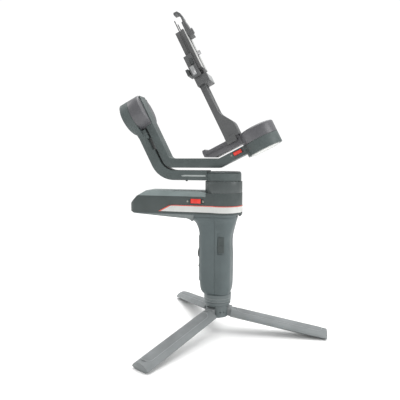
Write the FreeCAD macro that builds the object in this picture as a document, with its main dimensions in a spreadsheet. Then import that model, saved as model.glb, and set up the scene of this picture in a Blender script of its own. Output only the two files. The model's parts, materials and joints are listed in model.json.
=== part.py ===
import FreeCAD, Part
import math
import os
import re
import Sketcher

# Three-axis camera gimbal on a folding table tripod.
# World frame: millimetres, +Z up, +X forward (trigger side), origin on the floor under the tripod axis.
# Tilted frame: origin where the three motor axes meet, x along the roll axis, z along the tilt axis.

os.makedirs("parts", exist_ok=True)
doc = FreeCAD.newDocument("CameraGimbal")
V = FreeCAD.Vector

SIZES = {
    # stance and axes
    "foot_reach": 157.0, "pin_height": 33.0, "pin_reach": 11.0, "hub_radius": 17.0,
    "pan_x": 8.7, "axis_z": 389.2, "arm_tilt": 26.6,
    # tripod
    "leg_flat": 3.0, "leg_tongue": 7.0, "leg_start": 9.8, "hub_low": 25.0, "hub_slot_top": 40.6,
    "hub_top": 43.0, "collar_radius": 20.2, "collar_top": 59.6, "stud_radius": 3.175, "stud_long": 9.0,
    "pin_radius": 1.5, "pin_half": 12.0, "core_radius": 4.6, "foot_trim": 1.2,
    # grip
    "grip_low": 60.0, "grip_top": 174.0, "grip_back": 25.2, "grip_front": 21.3, "grip_half": 21.5,
    "wall": 2.2, "gap": 0.3, "run_fit": 0.05, "door_lip": 0.15,
    "hinge_y": 22.6, "hinge_radius": 1.2, "knuckle_radius": 2.2, "knuckle_low": 84.0, "knuckle_long": 20.0,
    "cell_radius": 9.1, "cell_long": 65.0, "cell_x": -7.0, "cell_low": 73.6,
    # head
    "head_half": 24.0, "head_top": 210.5, "base_top": 208.4, "parting": 178.0, "under_low": 170.4,
    "under_nose": 176.4, "under_end": -42.0,
    "nose_x": -131.2, "nose_top": 188.3, "slope_x": -118.3, "slope_z": 202.5, "flat_x": -106.0,
    "bevel_high": 7.1, "bevel_wide": 6.0, "seat_proud": 3.0,
    "strip_low": 181.0, "strip_high": 190.6, "strip_deep": 1.2, "strip_left_low": -84.0,
    "strip_left_high": -66.0,
    "lock_x": -27.2, "lock_z": 196.8, "lock_long": 14.8, "lock_high": 6.4, "lock_travel": 4.0,
    "lock_deep": 2.0,
    # motors
    "motor_radius": 25.6, "motor_wall": 1.9, "shaft_radius": 4.0, "bearing_outer": 8.0, "boss_outer": 9.6,
    "pan_seam": 225.0, "pan_cap": 237.0, "pan_top": 239.0, "pan_base_radius": 26.8,
    "roll_back": -165.0, "roll_seam": -151.2, "roll_face": -132.0, "roll_channel": -142.4,
    "tilt_low": -132.8, "tilt_seam": -116.85, "tilt_high": -99.6, "cap_thick": 1.3, "cap_radius": 21.5,
    "bell_thick": 2.0, "magnet_inner": 20.4, "magnet_outer": 22.8, "core_outer": 20.0, "core_teeth": 12.0,
    # arms
    "pan_arm_low": 226.0, "pan_arm_high": 240.3, "pan_arm_out": -159.4, "pan_arm_in": -145.0,
    "pan_arm_half": 12.0, "pan_bend_out": 38.0, "pan_bend_in": 24.0,
    "roll_arm_out": -142.1, "roll_arm_in": -130.6, "roll_arm_half": 10.0, "roll_arm_end": 22.0,
    "roll_arm_low": 244.1, "roll_arm_high": 257.7, "slope_low": -127.4, "slope_high": -115.3,
    "roll_bend_out": 17.0, "roll_bend_in": 7.0, "arm_slide": 30.0,
    # camera bracket
    "rail_end": -82.0, "rail_low": -111.8, "rail_high": -98.0, "rail_half": 10.0,
    "bar_back": -43.5, "bar_front": -35.3, "bar_half": 12.0, "bar_top": -2.0, "web_front": -22.0,
    "foot_low": -104.5, "foot_half": 13.2,
    "tray_back": -45.2, "tray_face": -41.6, "tray_half": 19.0, "tray_top": 33.0, "block_low": -12.5,
    "block_front": -26.0,
    "plate_low": 9.0, "plate_high": 69.0, "plate_face": -28.0, "plate_half": 17.0,
    "screw_v": 34.0, "screw_out": 5.5,
}

sheet = doc.addObject("Spreadsheet::Sheet", "Sizes")
for row, (alias, value) in enumerate(SIZES.items(), start=1):
    sheet.set("A%d" % row, alias)
    sheet.set("B%d" % row, str(value))
    sheet.setAlias("B%d" % row, alias)
doc.recompute()


def size(alias):
    return float(getattr(sheet, alias))


def bound(expression):
    """Give each size named in an expression its place in the sheet."""
    def prefix(match):
        word = match.group(0)
        return "Sizes." + word if word in SIZES else word
    return re.sub(r"[A-Za-z_]\w*", prefix, str(expression))


def along(angle, axis=V(0, 1, 0), base=V(0, 0, 0)):
    return FreeCAD.Placement(base, FreeCAD.Rotation(axis, angle))


WORLD = FreeCAD.Placement()
TILTED = along(-size("arm_tilt"), base=V(size("pan_x"), 0, size("axis_z")))
PLANE_TURN = {
    "XY": FreeCAD.Rotation(),
    "XZ": FreeCAD.Rotation(V(1, 0, 0), 90),
    "YZ": FreeCAD.Rotation(V(1, 1, 1), 120),
}
PLANE_AXIS = {"XY": ("z", 1), "XZ": ("y", -1), "YZ": ("x", 1)}

# ---- points given by one tilted coordinate and one world height ----------------------------------


def line_x(u, height):
    """World x where the line at tilted x = u crosses a world height."""
    return "pan_x + ((%s) - ((%s) - axis_z) * sin(arm_tilt)) / cos(arm_tilt)" % (u, height)


def rail_x(v, height):
    """World x where the line at tilted z = v crosses a world height."""
    return "pan_x + (((%s) - axis_z) * cos(arm_tilt) - (%s)) / sin(arm_tilt)" % (height, v)


def world_x(u, v):
    return "pan_x + (%s) * cos(arm_tilt) - (%s) * sin(arm_tilt)" % (u, v)


def world_z(u, v):
    return "axis_z + (%s) * sin(arm_tilt) + (%s) * cos(arm_tilt)" % (u, v)


# ---- sketches and primitives bound to the sheet --------------------------------------------------
counter = {"made": 0}


def unique(stem):
    counter["made"] += 1
    return "%s_%03d" % (stem, counter["made"])


def draw(sketch, outline):
    """Fill a sketch with a closed polygon, or a circle given as ("circle", x, y, radius)."""
    if outline[0] == "circle":
        sketch.addGeometry(Part.Circle(V(0, 0, 0), V(0, 0, 1), 1.0))
        named = (("DistanceX", outline[1]), ("DistanceY", outline[2]))
        for kind, text in named:
            index = sketch.addConstraint(Sketcher.Constraint(kind, -1, 1, 0, 3, 1.0))
            sketch.setExpression("Constraints[%d]" % index, bound(text))
        index = sketch.addConstraint(Sketcher.Constraint("Radius", 0, 1.0))
        sketch.setExpression("Constraints[%d]" % index, bound(outline[3]))
        return
    count = len(outline)
    rough = [V(20 * math.cos(2 * math.pi * k / count), 20 * math.sin(2 * math.pi * k / count), 0)
             for k in range(count)]
    for k in range(count):
        sketch.addGeometry(Part.LineSegment(rough[k], rough[(k + 1) % count]), False)
    for k in range(count):
        sketch.addConstraint(Sketcher.Constraint("Coincident", k, 2, (k + 1) % count, 1))
    for k, point in enumerate(outline):
        for kind, text in zip(("DistanceX", "DistanceY"), point):
            index = sketch.addConstraint(Sketcher.Constraint(kind, -1, 1, k, 1, 1.0))
            sketch.setExpression("Constraints[%d]" % index, bound(text))


def rect(x0, x1, y0, y1):
    return [(x0, y0), (x1, y0), (x1, y1), (x0, y1)]


def prism(plane, outline, low, high):
    """A solid with the given outline, from low to high along the plane's world axis."""
    sketch = doc.addObject("Sketcher::SketchObject", unique("outline"))
    axis, sense = PLANE_AXIS[plane]
    sketch.Placement = FreeCAD.Placement(V(0, 0, 0), PLANE_TURN[plane])
    start = low if sense > 0 else high
    sketch.setExpression("Placement.Base." + axis, bound(start))
    draw(sketch, outline)
    solid = doc.addObject("Part::Extrusion", unique("prism"))
    solid.Base = sketch
    solid.DirMode = "Normal"
    solid.Solid = True
    solid.setExpression("LengthFwd", bound("(%s) - (%s)" % (high, low)))
    return solid


def box(x0, x1, y0, y1, z0, z1):
    solid = doc.addObject("Part::Box", unique("box"))
    for name, low, high in (("Length", x0, x1), ("Width", y0, y1), ("Height", z0, z1)):
        solid.setExpression(name, bound("(%s) - (%s)" % (high, low)))
    for axis, low in (("x", x0), ("y", y0), ("z", z0)):
        solid.setExpression("Placement.Base." + axis, bound(low))
    return solid


def rod(axis, first, second, radius, low, high):
    """A cylinder along an axis; first and second are its centre's other two coordinates in order."""
    solid = doc.addObject("Part::Cylinder", unique("rod"))
    turn = {"x": FreeCAD.Rotation(V(0, 1, 0), 90), "y": FreeCAD.Rotation(V(1, 0, 0), -90),
            "z": FreeCAD.Rotation()}[axis]
    solid.Placement = FreeCAD.Placement(V(0, 0, 0), turn)
    solid.setExpression("Radius", bound(radius))
    solid.setExpression("Height", bound("(%s) - (%s)" % (high, low)))
    others = [name for name in "xyz" if name != axis]
    for name, text in ((axis, low), (others[0], first), (others[1], second)):
        solid.setExpression("Placement.Base." + name, bound(text))
    return solid


def turned(outline):
    """A solid of revolution about z from an outline of (radius, height) points."""
    sketch = doc.addObject("Sketcher::SketchObject", unique("section"))
    sketch.Placement = FreeCAD.Placement(V(0, 0, 0), PLANE_TURN["XZ"])
    draw(sketch, outline)
    solid = doc.addObject("Part::Revolution", unique("turned"))
    solid.Source = sketch
    solid.Axis = V(0, 0, 1)
    solid.Angle = 360.0
    solid.Solid = True
    return solid


def fuse(*shapes):
    joined = doc.addObject("Part::MultiFuse", unique("fuse"))
    joined.Shapes = list(shapes)
    joined.Refine = True
    return joined


def cut(base, *tools):
    result = doc.addObject("Part::Cut", unique("cut"))
    result.Base = base
    result.Tool = tools[0] if len(tools) == 1 else fuse(*tools)
    result.Refine = True
    return result


def compound(*shapes):
    group = doc.addObject("Part::Compound", unique("group"))
    group.Links = list(shapes)
    return group


def placed(shape, placement):
    """The same solid in another frame; the group carries the frame, as the solid's own place is bound."""
    holder = compound(shape)
    holder.Placement = placement
    return holder


def straight_edges(shape, axis, chosen):
    """Numbers of the straight edges parallel to an axis whose middle the chosen test accepts."""
    found = []
    for number, edge in enumerate(shape.Edges, start=1):
        if not isinstance(edge.Curve, (Part.Line, Part.LineSegment)):
            continue
        direction = edge.tangentAt(edge.FirstParameter)
        if abs(abs(direction.dot(axis)) - 1) > 1e-6:
            continue
        middle = edge.valueAt((edge.FirstParameter + edge.LastParameter) / 2)
        if chosen(middle):
            found.append(number)
    return found


def rounded(base, axis, chosen, radius):
    """Round the straight edges that a test picks, with Part's own fillet feature."""
    doc.recompute()
    numbers = straight_edges(base.Shape, axis, chosen)
    if not numbers:
        raise RuntimeError("no edge to round on " + base.Name)
    fillet = doc.addObject("Part::Fillet", unique("round"))
    fillet.Base = base
    fillet.Edges = [(number, radius, radius) for number in numbers]
    return fillet


pieces = {}


def keep(name, shape, placement=None):
    """Name a finished sub-part; the name is its file's and its node's."""
    if shape.TypeId in ("Part::Box", "Part::Cylinder"):
        shape = compound(shape)
    shape.Label = name
    if placement is not None:
        shape.Placement = placement
    pieces[name] = shape
    return shape


def own_shape(name, shape, placement=None):
    feature = doc.addObject("Part::Feature", unique("shape"))
    feature.Shape = shape
    return keep(name, feature, placement)


class Body:
    """A PartDesign body whose sketches lie on its own origin planes."""

    def __init__(self, name, placement=None):
        self.body = doc.addObject("PartDesign::Body", unique("body"))
        keep(name, self.body, placement)

    def sketch(self, plane, outline, offset):
        sketch = self.body.newObject("Sketcher::SketchObject", unique("sketch"))
        role = plane + "_Plane"
        support = [item for item in self.body.Origin.OriginFeatures if item.Role == role][0]
        sketch.AttachmentSupport = [(support, "")]
        sketch.MapMode = "FlatFace"
        sketch.setExpression("AttachmentOffset.Base.z", bound(offset))
        draw(sketch, outline)
        return sketch

    def _swept(self, kind, plane, outline, low, high):
        sense = PLANE_AXIS[plane][1]
        offset = low if sense > 0 else "-(%s)" % high
        feature = self.body.newObject(kind, unique(kind.split("::")[1].lower()))
        feature.Profile = self.sketch(plane, outline, offset)
        feature.setExpression("Length", bound("(%s) - (%s)" % (high, low)))
        return feature

    def pad(self, plane, outline, low, high):
        feature = self._swept("PartDesign::Pad", plane, outline, low, high)
        doc.recompute()
        return feature

    def pocket(self, plane, outline, low, high):
        before = self.body.Shape.Volume
        feature = self._swept("PartDesign::Pocket", plane, outline, low, high)
        feature.Reversed = True
        doc.recompute()
        if not feature.Shape.Volume < before - 0.01:
            raise RuntimeError("a pocket cut nothing in " + self.body.Label)
        return feature

    def turn(self, outline):
        feature = self.body.newObject("PartDesign::Revolution", unique("turn"))
        sketch = self.sketch("XZ", outline, "0")
        feature.Profile = sketch
        feature.ReferenceAxis = (sketch, ["V_Axis"])
        feature.Angle = 360.0
        doc.recompute()
        return feature

    def ring(self, feature, count):
        pattern = self.body.newObject("PartDesign::PolarPattern", unique("ring"))
        pattern.Originals = [feature]
        axis = [item for item in self.body.Origin.OriginFeatures if item.Role == "Z_Axis"][0]
        pattern.Axis = (axis, [""])
        pattern.Angle = 360.0
        pattern.Occurrences = count
        self.body.Tip = pattern
        doc.recompute()
        return pattern

    def round(self, axis, chosen, radius):
        tip = self.body.Tip
        numbers = straight_edges(tip.Shape, axis, chosen)
        if not numbers:
            raise RuntimeError("no edge to round on " + self.body.Label)
        fillet = self.body.newObject("PartDesign::Fillet", unique("round"))
        fillet.Base = (tip, ["Edge%d" % number for number in numbers])
        fillet.Radius = radius
        doc.recompute()
        return fillet


X_AXIS, Y_AXIS, Z_AXIS = V(1, 0, 0), V(0, 1, 0), V(0, 0, 1)


def near(x=None, y=None, z=None, reach=0.6):
    """A test for points close to the given coordinates."""
    def test(point):
        wanted = ((x, point.x), (y, point.y), (z, point.z))
        return all(goal is None or abs(goal - value) < reach for goal, value in wanted)
    return test


# ---- the grip: a lofted handle split into a rear shell and a battery door ------------------------
NECK_FRONT = 28.6
SEAM_LOW = (-34.6, 166.6)
SEAM_HIGH = (-27.5, 174.0)


def handle_section(height, back, front, half, radius):
    """A rounded rectangle at one height, with its back on the -x side."""
    x0, x1, y0, y1 = -back, front, -half, half
    r = radius
    k = r * (1 - math.sqrt(0.5))
    straight = [((x0 + r, y0), (x1 - r, y0)), ((x1, y0 + r), (x1, y1 - r)),
                ((x1 - r, y1), (x0 + r, y1)), ((x0, y1 - r), (x0, y0 + r))]
    bends = [(x1 - k, y0 + k), (x1 - k, y1 - k), (x0 + k, y1 - k), (x0 + k, y0 + k)]
    edges = []
    for index, (start, end) in enumerate(straight):
        after = straight[(index + 1) % 4][0]
        edges.append(Part.LineSegment(V(*start, height), V(*end, height)).toShape())
        edges.append(Part.Arc(V(*end, height), V(*bends[index], height), V(*after, height)).toShape())
    return Part.Wire(edges)


def handle_solid(inset):
    """The handle's outside, or its inside when inset by the wall."""
    low, top = size("grip_low"), size("grip_top")
    back, front, half = size("grip_back"), size("grip_front"), size("grip_half")
    lift = inset if inset > 0 else 0.0
    rise = (top - low) / 114.0
    stations = [
        (0, back - 4.5, front - 2.6, half - 3.2, 12.5),
        (3 * rise, back - 2.4, front - 1.4, half - 1.6, 13),
        (14 * rise, back - 0.6, front - 0.2, half - 0.2, 12.5),
        (28 * rise, back, front, half, 12.5),
        (58 * rise, back, front, half, 12.5),
        (84 * rise, back, front, half, 12.5),
        (92 * rise, back + 0.6, front + 1.6, half, 13),
        (100 * rise, back + 3.8, front + 3.9, half, 15),
        (106 * rise, back + 8.6, front + 5.6, half + 0.1, 17),
        (109.5 * rise, back + 14.8, front + 6.6, half + 1.2, 18),
        (top - low, back + 19.0, NECK_FRONT, half + 2.4, 18.5),
    ]
    wires = []
    for index, (rise_mm, rear, fore, side, radius) in enumerate(stations):
        height = low + rise_mm
        if index == 0:
            height += lift
        if index == len(stations) - 1 and inset > 0:
            height += 1.0
        wires.append(handle_section(height, rear - inset, fore - inset, side - inset, radius - inset))
    return Part.makeLoft(wires, True, False)


PANEL_LOW, PANEL_HIGH, PANEL_HALF = 78.0, 146.0, 12.0
STICK_Z, BUTTON_Z, ROCKER_Z = 118.0, 100.0, 86.5
STICK_HOLE, RECORD_HOLE, SMALL_HOLE = 9.2, 4.2, 2.7
ROCKER_HALF_LONG, ROCKER_HALF_WIDE = 6.5, 4.2
DIAL_X, DIAL_Z = -12.0, 157.0


def side_profile(points, reach=60.0):
    """A wide solid with the given outline in x and z."""
    wire = Part.makePolygon([V(x, -reach, z) for x, z in points + points[:1]])
    return Part.Face(wire).extrude(V(0, 2 * reach, 0))


def behind_seam():
    """The space behind the slanting seam, where the underside cover carries on from the handle."""
    lowest = (SEAM_LOW[0] - 24.0, SEAM_LOW[1] - 26.6)
    return side_profile([lowest, SEAM_LOW, SEAM_HIGH, (SEAM_HIGH[0], 200.0), (-80.0, 200.0),
                         (-80.0, 140.0)])


def knuckle(low, high, radius):
    return Part.makeCylinder(radius, high - low, V(0, size("hinge_y"), low))


def grip_shells():
    outer = handle_solid(0.0)
    inner = handle_solid(size("wall"))
    hollow = outer.cut(inner).cut(behind_seam())
    low, top, lip = size("grip_low"), size("grip_top"), size("door_lip")
    middle = size("knuckle_low")
    step = size("knuckle_long")
    gap = size("gap")
    big = 200.0
    rear_half = Part.makeBox(big, big, big, V(-big - lip, -big / 2, 0))
    front_half = Part.makeBox(big, big, big, V(lip, -big / 2, 0))
    fixed = [knuckle(middle, middle + step, size("knuckle_radius")),
             knuckle(middle + 2 * step, middle + 3 * step, size("knuckle_radius"))]
    swinging = knuckle(middle + step + gap, middle + 2 * step - gap, size("knuckle_radius"))
    relief = size("knuckle_radius") + gap
    pin_bore = knuckle(low, top, size("hinge_radius"))
    loose_bore = knuckle(low, top, size("hinge_radius") + size("run_fit"))
    rear = hollow.common(rear_half)
    rear = rear.cut(knuckle(middle + step, middle + 2 * step, relief))
    for part in fixed:
        rear = rear.fuse(part.cut(inner))
    # room for the door's flared top edge, which turns about the hinge
    rear = rear.cut(knuckle(top - 9.0, top + 1.0, relief + 0.4))
    rear = rear.cut(pin_bore)
    floor_seat = Part.makeCylinder(10.0, 9.2, V(0, 0, low + size("wall")))
    rear = rear.fuse(floor_seat.common(rear_half).common(inner))
    stud_bore = Part.makeCylinder(6.0, 20.0, V(0, 0, low - 1))
    rear = rear.cut(stud_bore)
    window = Part.makeBox(6.0, 2 * PANEL_HALF, PANEL_HIGH - PANEL_LOW,
                          V(-size("grip_back") - 2.0, -PANEL_HALF, PANEL_LOW))
    rear = rear.cut(window)
    dial_bore = Part.makeCylinder(2.5 + size("run_fit"), 8.0, V(DIAL_X, size("grip_half") - 4.5, DIAL_Z),
                                  Y_AXIS)
    rear = rear.cut(dial_bore)
    front = hollow.common(front_half)
    front = front.cut(knuckle(middle - gap, middle + step + gap, relief))
    front = front.cut(knuckle(middle + 2 * step - gap, middle + 3 * step + gap, relief))
    front = front.fuse(swinging.cut(inner).cut(rear_half))
    front = front.cut(loose_bore)
    front = front.cut(Part.makeCylinder(6.0 + gap, 20.0, V(0, 0, low - 1)))
    latch_bed = Part.makeBox(11.0, 2.0, 32.0, V(4.0, -size("grip_half") - 1.0, 120.5))
    front = front.cut(latch_bed)
    front = front.cut(Part.makeBox(4.0, 6.0, 14.0, V(7.5, -size("grip_half") - 1.0, 129.5)))
    own_shape("grip_shell", rear.removeSplitter(), WORLD)
    own_shape("battery_door", front.removeSplitter(), WORLD)
    own_shape("door_hinge_pin", knuckle(middle, middle + 3 * step, size("hinge_radius")), WORLD)


grip_shells()

latch_y = "-grip_half"
keep("door_latch", fuse(box("5", "14", latch_y + " + 0.05", latch_y + " + 0.95", "123", "146"),
                        box("5.4", "13.6", latch_y + " - 0.5", latch_y + " + 0.05", "124", "134"),
                        box("8", "11", latch_y + " + 0.95", latch_y + " + 3.0", "131", "139")), WORLD)

cells = []
for side in ("-1", "1"):
    cells.append(rod("z", "cell_x", side + " * (cell_radius + gap)", "cell_radius", "cell_low",
                     "cell_low + cell_long"))
keep("battery_cells", compound(*cells), WORLD)
contacts = []
for side in ("-1", "1"):
    for level in ("cell_low - 1.2", "cell_low + cell_long + 0.2"):
        contacts.append(rod("z", "cell_x", side + " * (cell_radius + gap)", "5", level, level + " + 1"))
keep("battery_contacts", compound(*contacts), WORLD)

# control panel let into the back of the grip
panel = Body("control_panel", WORLD)
panel.pad("YZ", rect(-PANEL_HALF, PANEL_HALF, PANEL_LOW, PANEL_HIGH),
          "-grip_back - 0.4", "-grip_back + wall")
panel.pocket("YZ", ("circle", "0", STICK_Z, STICK_HOLE), "-grip_back - 1", "-grip_back + wall + 1")
panel.pocket("YZ", ("circle", "0", BUTTON_Z, RECORD_HOLE), "-grip_back - 1", "-grip_back + wall + 1")
for side in (-8.2, 8.2):
    panel.pocket("YZ", ("circle", side, BUTTON_Z, SMALL_HOLE), "-grip_back - 1", "-grip_back + wall + 1")
panel.pocket("YZ", rect(-ROCKER_HALF_WIDE, ROCKER_HALF_WIDE, ROCKER_Z - ROCKER_HALF_LONG,
                        ROCKER_Z + ROCKER_HALF_LONG), "-grip_back - 1", "-grip_back + wall + 1")
panel.pocket("YZ", rect(-8.5, 8.5, 129.5, 143.5), "-grip_back - 1", "-grip_back + 0.8")
keep("display_window", box("-grip_back - 0.3", "-grip_back + 0.8", "-8.5", "8.5", "129.5", "143.5"), WORLD)

board = Body("control_board", WORLD)
board.pad("YZ", rect(-10.5, 10.5, 80, 144), "-grip_back + 6.2", "-grip_back + 7.4")
board.pocket("YZ", ("circle", "0", STICK_Z, "3.2"), "-grip_back + 5", "-grip_back + 9")

STICK_X = "-grip_back + 3.6"
ring_outer = rod("x", "0", STICK_Z, "5.6", STICK_X + " - 0.8", STICK_X + " + 0.8")
ring_inner = rod("x", "0", STICK_Z, "3.9", STICK_X + " - 2", STICK_X + " + 2")
keep("joystick_ring", cut(ring_outer, ring_inner), WORLD)
stem = rod("x", "0", STICK_Z, "3.2", STICK_X + " - 5.2", STICK_X + " + 0.8")
dome = rod("x", "0", STICK_Z, "7.2", "-grip_back - 3.4", "-grip_back - 1.0")
keep("joystick", fuse(dome, stem), WORLD)


def button(name, y, z, radius):
    """A round push button with a flange that holds it behind the panel."""
    cap = rod("x", y, z, radius, "-grip_back - 1.6", "-grip_back + wall + 0.9")
    flange = rod("x", y, z, "%s + 0.8" % radius, "-grip_back + wall + 0.9", "-grip_back + wall + 1.7")
    keep(name, fuse(cap, flange), WORLD)


button("record_button", 0, BUTTON_Z, RECORD_HOLE - 0.3)
button("menu_button", -8.2, BUTTON_Z, SMALL_HOLE - 0.3)
button("mode_button", 8.2, BUTTON_Z, SMALL_HOLE - 0.3)
rocker_tip = ROCKER_HALF_LONG - 0.35
rocker_outline = [("-grip_back + 3.4", ROCKER_Z - 3), ("-grip_back - 1.4", ROCKER_Z - rocker_tip),
                  ("-grip_back - 2.4", ROCKER_Z - 4.2), ("-grip_back - 1.9", ROCKER_Z),
                  ("-grip_back - 2.4", ROCKER_Z + 4.2), ("-grip_back - 1.4", ROCKER_Z + rocker_tip),
                  ("-grip_back + 3.4", ROCKER_Z + 3)]
keep("zoom_rocker", prism("XZ", rocker_outline, -ROCKER_HALF_WIDE + 0.3, ROCKER_HALF_WIDE - 0.3), WORLD)

DIAL_PLACE = FreeCAD.Placement(V(DIAL_X, size("grip_half") + 0.5, DIAL_Z), FreeCAD.Rotation(X_AXIS, -90))
dial = Body("focus_wheel", DIAL_PLACE)
dial.turn([("0", "0"), ("9", "0"), ("9", "3"), ("8.2", "3.8"), ("0", "3.8")])
dial.turn([("0", "-3.6"), ("2.5", "-3.6"), ("2.5", "0.2"), ("0", "0.2")])
notch = dial.pocket("XY", rect("8.4", "10", "-0.45", "0.45"), "-0.5", "4.5")
dial.ring(notch, 24)

# ---- the head: upper housing, underside cover, light strip ---------------------------------------


def seat_radius():
    """The round motor seat stands a little proud of the head's sides."""
    return size("head_half") + size("seat_proud")


def plan_solid(grow, low, high):
    """The head's plan, grown sideways, with its rounded nose and its round motor seat."""
    half = size("head_half") + grow
    nose = size("nose_x") - grow
    main = Part.makeBox(size("pan_x") - nose, 2 * half, high - low, V(nose, -half, low))
    corners = [edge for edge in main.Edges
               if abs(edge.tangentAt(0).z) > 0.99 and abs(edge.Vertexes[0].X - nose) < 0.01]
    main = main.makeFillet(10.0 + grow, corners)
    seat = Part.makeCylinder(seat_radius() + grow, high - low, V(size("pan_x"), 0, low))
    return main.fuse(seat)


def strip_band():
    low, high = size("strip_low"), size("strip_high")
    left_low, left_high = size("strip_left_low"), size("strip_left_high")
    window = side_profile([(left_low, low), (left_high, high), (60, high), (60, low)])
    deep = size("strip_deep")
    return plan_solid(0.25, low, high).cut(plan_solid(-deep, low, high)).common(window)


def head_parts():
    wall, parting = size("wall"), size("parting")
    front_x = size("pan_x") + seat_radius() + 1
    seat_x = size("pan_x") - 21.0
    nose = size("nose_x")
    profile = [(nose + 5.4, parting), (nose + 2.6, parting + 0.9), (nose + 0.8, parting + 2.7),
               (nose - 0.1, parting + 5.4), (nose - 1, size("nose_top")),
               (size("slope_x"), size("slope_z")), (size("flat_x"), size("head_top")),
               (seat_x - 12.0, size("head_top")), (seat_x, size("base_top")), (front_x, size("base_top")),
               (front_x, parting)]
    block = plan_solid(0.0, parting, size("head_top") + 1).common(side_profile(profile))
    half, high = size("head_half"), size("bevel_high")
    for side in (-1, 1):
        bevel = Part.makePolygon([V(-200, side * (half + 0.01), size("head_top") - high),
                                  V(-200, side * (half - size("bevel_wide")), size("head_top")),
                                  V(-200, side * (half + 6), size("head_top") + 4),
                                  V(-200, side * (half + 6), size("head_top") - high),
                                  V(-200, side * (half + 0.01), size("head_top") - high)])
        wedge = Part.Face(bevel).extrude(V(200 + seat_x, 0, 0))
        block = block.cut(wedge)
    roof = size("head_top") - high - 1.0
    hollow = plan_solid(-wall - size("strip_deep"), parting - 1, roof)
    slope = [(nose + 8.6, parting - 2), (nose + 8.6, parting + 0.5), (nose + 3.6, parting + 5.4),
             (nose + 3.6, size("nose_top") - 3.0),
             (size("slope_x") + 1.0, roof), (front_x, roof), (front_x, parting - 2)]
    block = block.cut(hollow.common(side_profile(slope)))
    strip = strip_band()
    lock_bed = Part.makeBox(size("lock_long") + size("lock_travel") + 2 * size("gap") + 1.6,
                            size("lock_deep"), size("lock_high") + 2 * size("gap"),
                            V(size("lock_x") - size("lock_long") / 2 - size("gap") - 0.8, -half - 0.1,
                              size("lock_z") - size("lock_high") / 2 - size("gap")))
    trigger_slot = Part.makeBox(9.0, 12.6, 3.6, V(28.6, -6.3, parting - 0.1))
    socket_window = Part.makeBox(10.0, 5.0, 4.0, V(-105.0, half - 4.0, 184.0))
    # bosses that the housing screws enter
    bosses = []
    for x, y in SCREW_PLACES:
        bosses.append(Part.makeCylinder(3.2, roof + 0.5 - parting, V(x, y, parting)))
    block = block.fuse(bosses)
    for x, y in SCREW_PLACES:
        block = block.cut(Part.makeCylinder(1.25, 14.0, V(x, y, parting - 1)))
    block = block.cut([strip, lock_bed, trigger_slot, socket_window])
    wire_way = Part.makeCylinder(size("shaft_radius") + 1.0, 30.0, V(size("pan_x"), 0, roof - 5))
    block = block.cut(wire_way)
    block = block.cut(Part.makeCylinder(seat_radius(), 10.0, V(size("pan_x"), 0, size("base_top"))))
    own_shape("head_housing", block.removeSplitter(), WORLD)
    own_shape("side_strip", strip.removeSplitter(), WORLD)


SCREW_PLACES = [(-84.0, -17.0), (-84.0, 17.0), (-60.0, -17.0), (-60.0, 17.0)]


def under_level(x):
    """Height of the underside below a place on the head: it rises evenly towards the nose."""
    left = size("nose_x") + 12.0
    share = (x - left) / (size("under_end") - left)
    return size("under_nose") + share * (size("under_low") - size("under_nose"))


def underside():
    """The cover below the head: a tray that rises to the nose and runs down into the handle's neck."""
    parting, low, wall = size("parting"), size("under_low"), size("wall")
    top, nose, end = size("grip_top"), size("nose_x"), size("under_end")
    lip = size("gap")
    profile = [(nose + 6.0, parting), (nose + 7.4, parting - 1.1), (nose + 12.0, size("under_nose")),
               (end, low), (end + 3.4, low - 1.5), (SEAM_LOW[0] - 0.5, SEAM_LOW[1] - 0.2),
               (SEAM_HIGH[0] - 0.4, top + lip), (NECK_FRONT - 0.6, top + lip), (NECK_FRONT + 1.4, parting)]
    outer = plan_solid(0.0, low - 12, parting).common(side_profile(profile))
    half = size("head_half")
    seat = Part.makeCone(half + 0.2, seat_radius() + 0.2, parting - top, V(size("pan_x"), 0, top))
    sides = Part.makeBox(220.0, 2 * half, 40.0, V(size("pan_x") - 220.0, -half, parting - 40.0))
    outer = outer.common(sides.fuse(seat))
    for side in (-1, 1):
        chamfer = Part.makePolygon([V(-200, side * (half + 0.1), parting - 0.9),
                                    V(-200, side * (half - 8.2), low - 2.4),
                                    V(-200, side * (half - 4.0), low - 20),
                                    V(-200, side * (half + 8), low - 20),
                                    V(-200, side * (half + 0.1), parting - 0.9)])
        outer = outer.cut(Part.Face(chamfer).extrude(V(200 - 30.0, 0, 0)))
    inner = plan_solid(-wall - size("strip_deep"), low + wall, parting + 1)
    slope = [(-94.0, parting + 1), (-88.0, under_level(-88.0) + wall), (-47.0, under_level(-47.0) + wall),
             (-47.0, parting + 1)]
    outer = outer.cut(inner.common(side_profile(slope)))
    for x, y in SCREW_PLACES:
        level = under_level(x)
        outer = outer.fuse(Part.makeCylinder(4.0, parting - level - 0.6, V(x, y, level + 0.6)))
        outer = outer.cut(Part.makeCylinder(1.4, 30.0, V(x, y, low - 8)))
        outer = outer.cut(Part.makeCylinder(2.6, 8.0, V(x, y, level - 6.0)))
    way = Part.makeBox(30.0, 14.0, 20.0, V(-22.0, -7.0, low))
    outer = outer.cut(way)
    insert_seat = Part.makeCylinder(6.0, 30.0, V(INSERT_X, 0, low - 10))
    boss_low = under_level(INSERT_X) + 0.6
    boss = Part.makeCylinder(8.0, parting + 4.4 - boss_low, V(INSERT_X, 0, boss_low))
    outer = outer.fuse(boss).cut(insert_seat)
    own_shape("underside_cover", outer.removeSplitter(), WORLD)
    screws = []
    for x, y in SCREW_PLACES:
        level = under_level(x)
        head = Part.makeCylinder(2.4, 1.6, V(x, y, level + 0.3))
        shank = Part.makeCylinder(1.25, parting + 9.0 - level - 1.0, V(x, y, level + 1.0))
        screws.append(head.fuse(shank).removeSplitter())
    own_shape("housing_screws", Part.makeCompound(screws), WORLD)


INSERT_X = -92.0
underside()
head_parts()

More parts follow.
